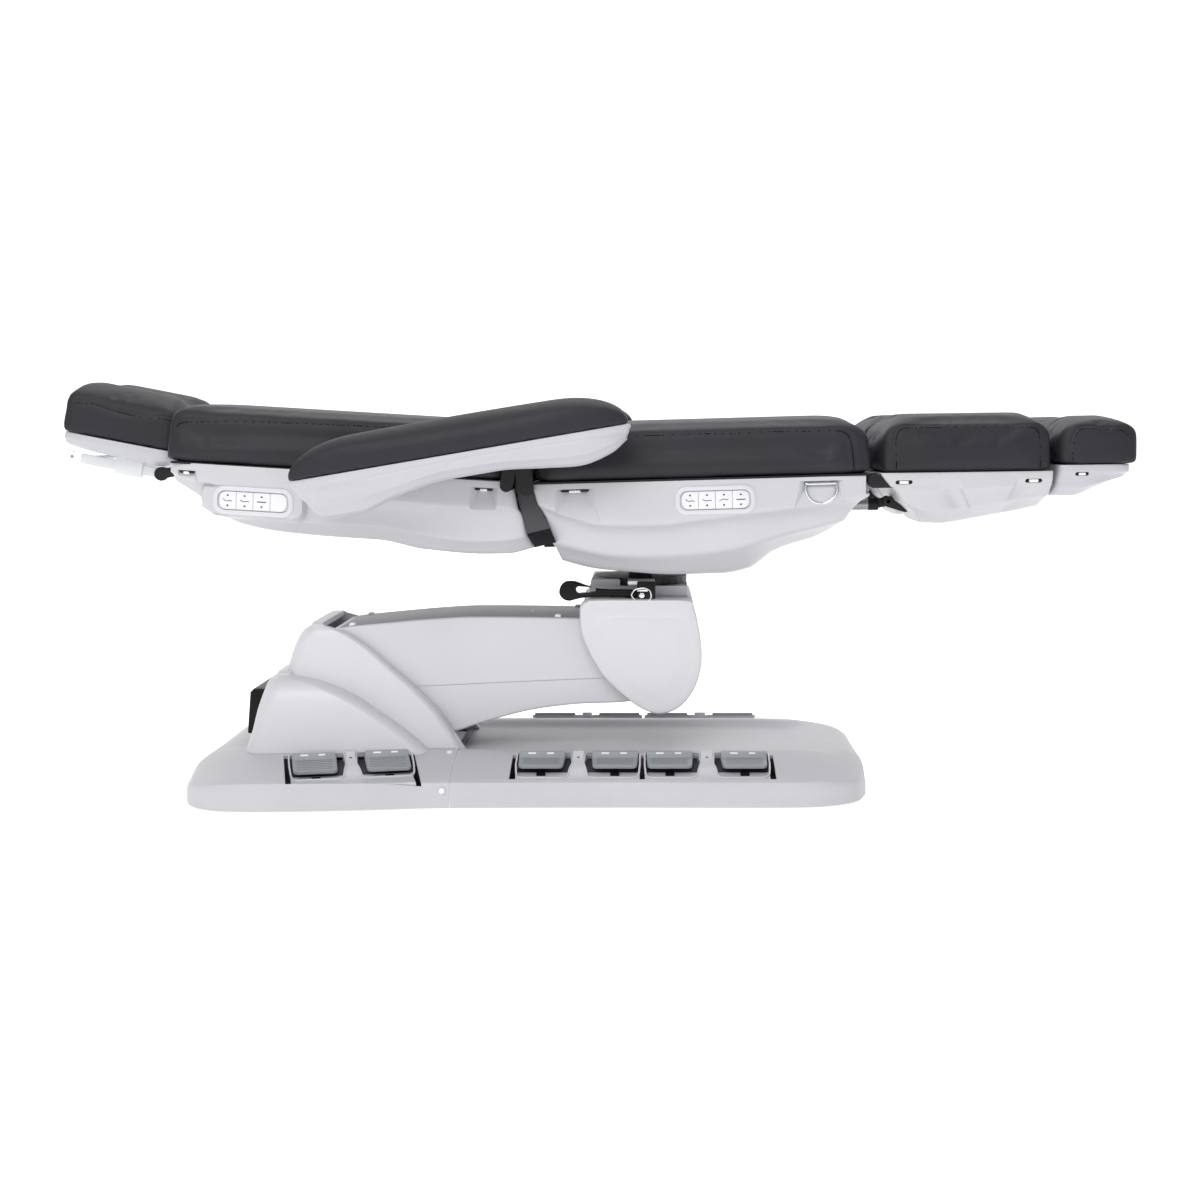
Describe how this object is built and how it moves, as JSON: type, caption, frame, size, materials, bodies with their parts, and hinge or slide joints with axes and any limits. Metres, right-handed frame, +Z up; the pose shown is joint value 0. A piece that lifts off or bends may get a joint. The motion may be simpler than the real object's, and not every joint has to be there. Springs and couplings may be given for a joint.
{
  "type": "electric spa treatment table",
  "caption": "Padded treatment table on a pedal base: a lift arm carries a swivelling, tilting seat with a reclining back, split leg rests, armrests and a headrest.",
  "frame": {"origin": "centre of the bounding box's footprint, on the floor", "axes": "+X towards the foot end, +Y to the far side, +Z up"},
  "size_m": [1.926, 0.826, 0.7487],
  "materials": {
    "moulding": "semi-gloss moulded",
    "arm": "semi-gloss paint",
    "leatherette": "satin, stitched seams",
    "steel": "satin black paint",
    "pedal": "ribbed",
    "key": "satin",
    "chrome": "polished",
    "rail": "brushed",
    "black": "satin",
    "motor": "satin"
  },
  "bodies": {
    "base": {"base_cover": "moulding", "base_frame": "steel", "hood_cover": "moulding", "rear_panel": "black"},
    "arm": {"lift_arm": "arm"},
    "link": {"lift_link": "steel"},
    "head": {"lift_head": "arm", "head_shield": "moulding"},
    "lift_motor_body": {"lift_motor": "motor"},
    "lift_rod_body": {"lift_rod": "chrome"},
    "turn": {"turntable": "arm"},
    "lever": {"swivel_lever": "black"},
    "seat": {"seat_frame": "steel", "seat_shell": "moulding", "seat_cushion": "leatherette", "gap_cover": "leatherette"},
    "back": {"back_frame": "steel", "back_shell": "moulding", "back_cushion": "leatherette"},
    "back_motor_body": {"back_motor": "motor"},
    "back_rod_body": {"back_rod": "chrome"},
    "rail": {"headrest_rail": "rail"},
    "headrest": {"headrest_shell": "moulding", "headrest_cushion": "leatherette"},
    "armrest_near": {"armrest_shell_near": "moulding", "armrest_pad_near": "leatherette"},
    "leg_near": {"calf_shell_near": "moulding", "calf_cushion_near": "leatherette"},
    "strut_near": {"leg_strut_near": "rail"},
    "foot_near": {"foot_shell_near": "moulding", "foot_cushion_near": "leatherette"},
    "ring_near": {"release_ring_near": "chrome"},
    "pedal_near_front_1_body": {"pedal_near_front_1": "pedal"},
    "pedal_near_front_2_body": {"pedal_near_front_2": "pedal"},
    "pedal_near_front_3_body": {"pedal_near_front_3": "pedal"},
    "pedal_near_front_4_body": {"pedal_near_front_4": "pedal"},
    "pedal_near_rear_1_body": {"pedal_near_rear_1": "pedal"},
    "pedal_near_rear_2_body": {"pedal_near_rear_2": "pedal"},
    "armrest_far": {"armrest_shell_far": "moulding", "armrest_pad_far": "leatherette"},
    "leg_far": {"calf_shell_far": "moulding", "calf_cushion_far": "leatherette"},
    "strut_far": {"leg_strut_far": "rail"},
    "foot_far": {"foot_shell_far": "moulding", "foot_cushion_far": "leatherette"},
    "ring_far": {"release_ring_far": "chrome"},
    "pedal_far_front_1_body": {"pedal_far_front_1": "pedal"},
    "pedal_far_front_2_body": {"pedal_far_front_2": "pedal"},
    "pedal_far_front_3_body": {"pedal_far_front_3": "pedal"},
    "pedal_far_front_4_body": {"pedal_far_front_4": "pedal"},
    "pedal_far_rear_1_body": {"pedal_far_rear_1": "pedal"},
    "pedal_far_rear_2_body": {"pedal_far_rear_2": "pedal"},
    "seat_key_1_body": {"seat_key_1": "key"},
    "seat_key_2_body": {"seat_key_2": "key"},
    "seat_key_3_body": {"seat_key_3": "key"},
    "seat_key_4_body": {"seat_key_4": "key"},
    "back_key_1_body": {"back_key_1": "key"},
    "back_key_2_body": {"back_key_2": "key"},
    "back_key_3_body": {"back_key_3": "key"},
    "back_key_4_body": {"back_key_4": "key"}
  },
  "joints": [
    {"name": "lift", "type": "hinge", "parent": "base", "child": "arm", "pos_m": [-0.47, 0, 0.236], "axis": [0, -1, 0], "range_deg": [0, 28]},
    {"name": "link_pivot", "type": "hinge", "parent": "base", "child": "link", "pos_m": [-0.47, 0, 0.15], "axis": [0, -1, 0], "range_deg": [0, 28]},
    {"name": "head_level", "type": "hinge", "parent": "arm", "child": "head", "pos_m": [0.1, 0, 0.262], "axis": [0, -1, 0], "range_deg": [-28, 0]},
    {"name": "lift_motor_pivot", "type": "hinge", "parent": "base", "child": "lift_motor_body", "pos_m": [-0.42, 0, 0.075], "axis": [0, -1, 0], "range_deg": [0, 24]},
    {"name": "lift_rod_slide", "type": "slide", "parent": "lift_motor_body", "child": "lift_rod_body", "axis": [0.9062, 0, 0.4229], "range_m": [0, 0.078]},
    {"name": "swivel", "type": "hinge", "parent": "head", "child": "turn", "pos_m": [0.09, 0, 0.385], "axis": [0, 0, 1], "range_deg": [-90, 90]},
    {"name": "lever_turn", "type": "hinge", "parent": "head", "child": "lever", "pos_m": [0.092, -0.128, 0.37], "axis": [0, 0, 1], "range_deg": [0, 35]},
    {"name": "seat_tilt", "type": "hinge", "parent": "turn", "child": "seat", "pos_m": [0.09, 0, 0.455], "axis": [0, -1, 0], "range_deg": [-3, 8]},
    {"name": "recline", "type": "hinge", "parent": "seat", "child": "back", "pos_m": [-0.122, 0, 0.672], "axis": [0, 1, 0], "range_deg": [0, 65]},
    {"name": "back_motor_pivot", "type": "hinge", "parent": "seat", "child": "back_motor_body", "pos_m": [0.17, 0, 0.455], "axis": [0, 1, 0], "range_deg": [0, 13]},
    {"name": "back_rod_slide", "type": "slide", "parent": "back_motor_body", "child": "back_rod_body", "axis": [-0.9933, 0, 0.1156], "range_m": [0, 0.176]},
    {"name": "headrest_tilt", "type": "hinge", "parent": "back", "child": "rail", "pos_m": [-0.8004, 0, 0.5897], "axis": [0, 1, 0], "range_deg": [-40, 5]},
    {"name": "headrest_slide", "type": "slide", "parent": "rail", "child": "headrest", "axis": [-0.982, 0, 0.1891], "range_m": [0, 0.08]},
    {"name": "armrest_turn_near", "type": "hinge", "parent": "seat", "child": "armrest_near", "pos_m": [-0.122, -0.32, 0.632], "axis": [0, -1, 0], "range_deg": [-20, 60]},
    {"name": "leg_drop_near", "type": "hinge", "parent": "seat", "child": "leg_near", "pos_m": [0.503, -0.1465, 0.581], "axis": [0, 1, 0], "range_deg": [0, 75]},
    {"name": "strut_turn_near", "type": "hinge", "parent": "leg_near", "child": "strut_near", "pos_m": [0.54564, -0.145, 0.54012], "axis": [0, 1, 0], "range_deg": [-75, 0]},
    {"name": "foot_slide_near", "type": "slide", "parent": "leg_near", "child": "foot_near", "axis": [0.9999, 0, 0.0133], "range_m": [0, 0.12]},
    {"name": "ring_swing_near", "type": "hinge", "parent": "seat", "child": "ring_near", "pos_m": [0.40945, -0.279, 0.57721], "axis": [-0.9996, 0, -0.0279], "range_deg": [0, 70]},
    {"name": "pedal_near_front_1_press", "type": "hinge", "parent": "base", "child": "pedal_near_front_1_body", "pos_m": [-0.09, -0.19986, 0.07166], "axis": [1, 0, 0], "range_deg": [0, 6], "stiffness_Nm_per_rad": 2},
    {"name": "pedal_near_front_2_press", "type": "hinge", "parent": "base", "child": "pedal_near_front_2_body", "pos_m": [0.044, -0.19986, 0.07166], "axis": [1, 0, 0], "range_deg": [0, 6], "stiffness_Nm_per_rad": 2},
    {"name": "pedal_near_front_3_press", "type": "hinge", "parent": "base", "child": "pedal_near_front_3_body", "pos_m": [0.144, -0.19986, 0.07166], "axis": [1, 0, 0], "range_deg": [0, 6], "stiffness_Nm_per_rad": 2},
    {"name": "pedal_near_front_4_press", "type": "hinge", "parent": "base", "child": "pedal_near_front_4_body", "pos_m": [0.28, -0.19986, 0.07166], "axis": [1, 0, 0], "range_deg": [0, 6], "stiffness_Nm_per_rad": 2},
    {"name": "pedal_near_rear_1_press", "type": "hinge", "parent": "base", "child": "pedal_near_rear_1_body", "pos_m": [-0.5, -0.19986, 0.07166], "axis": [1, 0, 0], "range_deg": [0, 6], "stiffness_Nm_per_rad": 2},
    {"name": "pedal_near_rear_2_press", "type": "hinge", "parent": "base", "child": "pedal_near_rear_2_body", "pos_m": [-0.3686, -0.19986, 0.07166], "axis": [1, 0, 0], "range_deg": [0, 6], "stiffness_Nm_per_rad": 2},
    {"name": "armrest_turn_far", "type": "hinge", "parent": "seat", "child": "armrest_far", "pos_m": [-0.122, 0.32, 0.632], "axis": [0, -1, 0], "range_deg": [-20, 60]},
    {"name": "leg_drop_far", "type": "hinge", "parent": "seat", "child": "leg_far", "pos_m": [0.503, 0.1465, 0.581], "axis": [0, 1, 0], "range_deg": [0, 75]},
    {"name": "strut_turn_far", "type": "hinge", "parent": "leg_far", "child": "strut_far", "pos_m": [0.54564, 0.145, 0.54012], "axis": [0, 1, 0], "range_deg": [-75, 0]},
    {"name": "foot_slide_far", "type": "slide", "parent": "leg_far", "child": "foot_far", "axis": [0.9999, 0, 0.0133], "range_m": [0, 0.12]},
    {"name": "ring_swing_far", "type": "hinge", "parent": "seat", "child": "ring_far", "pos_m": [0.40945, 0.279, 0.57721], "axis": [0.9996, 0, 0.0279], "range_deg": [0, 70]},
    {"name": "pedal_far_front_1_press", "type": "hinge", "parent": "base", "child": "pedal_far_front_1_body", "pos_m": [-0.09, 0.19986, 0.07166], "axis": [-1, 0, 0], "range_deg": [0, 6], "stiffness_Nm_per_rad": 2},
    {"name": "pedal_far_front_2_press", "type": "hinge", "parent": "base", "child": "pedal_far_front_2_body", "pos_m": [0.044, 0.19986, 0.07166], "axis": [-1, 0, 0], "range_deg": [0, 6], "stiffness_Nm_per_rad": 2},
    {"name": "pedal_far_front_3_press", "type": "hinge", "parent": "base", "child": "pedal_far_front_3_body", "pos_m": [0.144, 0.19986, 0.07166], "axis": [-1, 0, 0], "range_deg": [0, 6], "stiffness_Nm_per_rad": 2},
    {"name": "pedal_far_front_4_press", "type": "hinge", "parent": "base", "child": "pedal_far_front_4_body", "pos_m": [0.28, 0.19986, 0.07166], "axis": [-1, 0, 0], "range_deg": [0, 6], "stiffness_Nm_per_rad": 2},
    {"name": "pedal_far_rear_1_press", "type": "hinge", "parent": "base", "child": "pedal_far_rear_1_body", "pos_m": [-0.5, 0.19986, 0.07166], "axis": [-1, 0, 0], "range_deg": [0, 6], "stiffness_Nm_per_rad": 2},
    {"name": "pedal_far_rear_2_press", "type": "hinge", "parent": "base", "child": "pedal_far_rear_2_body", "pos_m": [-0.3686, 0.19986, 0.07166], "axis": [-1, 0, 0], "range_deg": [0, 6], "stiffness_Nm_per_rad": 2},
    {"name": "seat_key_1_rock", "type": "hinge", "parent": "seat", "child": "seat_key_1_body", "pos_m": [0.1785, -0.2832, 0.54725], "axis": [0.9996, 0, 0.0279], "range_deg": [-3, 3], "stiffness_Nm_per_rad": 0.3},
    {"name": "seat_key_2_rock", "type": "hinge", "parent": "seat", "child": "seat_key_2_body", "pos_m": [0.20828, -0.2832, 0.54808], "axis": [0.9996, 0, 0.0279], "range_deg": [-3, 3], "stiffness_Nm_per_rad": 0.3},
    {"name": "seat_key_3_rock", "type": "hinge", "parent": "seat", "child": "seat_key_3_body", "pos_m": [0.23807, -0.2832, 0.54891], "axis": [0.9996, 0, 0.0279], "range_deg": [-3, 3], "stiffness_Nm_per_rad": 0.3},
    {"name": "seat_key_4_rock", "type": "hinge", "parent": "seat", "child": "seat_key_4_body", "pos_m": [0.26786, -0.2832, 0.54974], "axis": [0.9996, 0, 0.0279], "range_deg": [-3, 3], "stiffness_Nm_per_rad": 0.3},
    {"name": "back_key_1_rock", "type": "hinge", "parent": "back", "child": "back_key_1_body", "pos_m": [-0.63426, -0.2832, 0.54811], "axis": [0.9983, 0, -0.0584], "range_deg": [-3, 3], "stiffness_Nm_per_rad": 0.3},
    {"name": "back_key_2_rock", "type": "hinge", "parent": "back", "child": "back_key_2_body", "pos_m": [-0.60451, -0.2832, 0.54637], "axis": [0.9983, 0, -0.0584], "range_deg": [-3, 3], "stiffness_Nm_per_rad": 0.3},
    {"name": "back_key_3_rock", "type": "hinge", "parent": "back", "child": "back_key_3_body", "pos_m": [-0.57476, -0.2832, 0.54463], "axis": [0.9983, 0, -0.0584], "range_deg": [-3, 3], "stiffness_Nm_per_rad": 0.3},
    {"name": "back_key_4_press", "type": "slide", "parent": "back", "child": "back_key_4_body", "axis": [0, 1, 0], "range_m": [0, 0.001], "stiffness_N_per_m": 600}
  ],
  "couplings": [
    {"joint": "link_pivot", "follows": "lift", "ratio": 1},
    {"joint": "head_level", "follows": "lift", "ratio": -1},
    {"joint": "lift_motor_pivot", "follows": "lift", "ratio": 0.84815},
    {"joint": "lift_rod_slide", "follows": "lift", "m_per_rad": 0.15731},
    {"joint": "back_motor_pivot", "follows": "recline", "ratio": 0.19694},
    {"joint": "back_rod_slide", "follows": "recline", "m_per_rad": 0.15351},
    {"joint": "strut_turn_near", "follows": "leg_drop_near", "ratio": -1},
    {"joint": "strut_turn_far", "follows": "leg_drop_far", "ratio": -1}
  ]
}
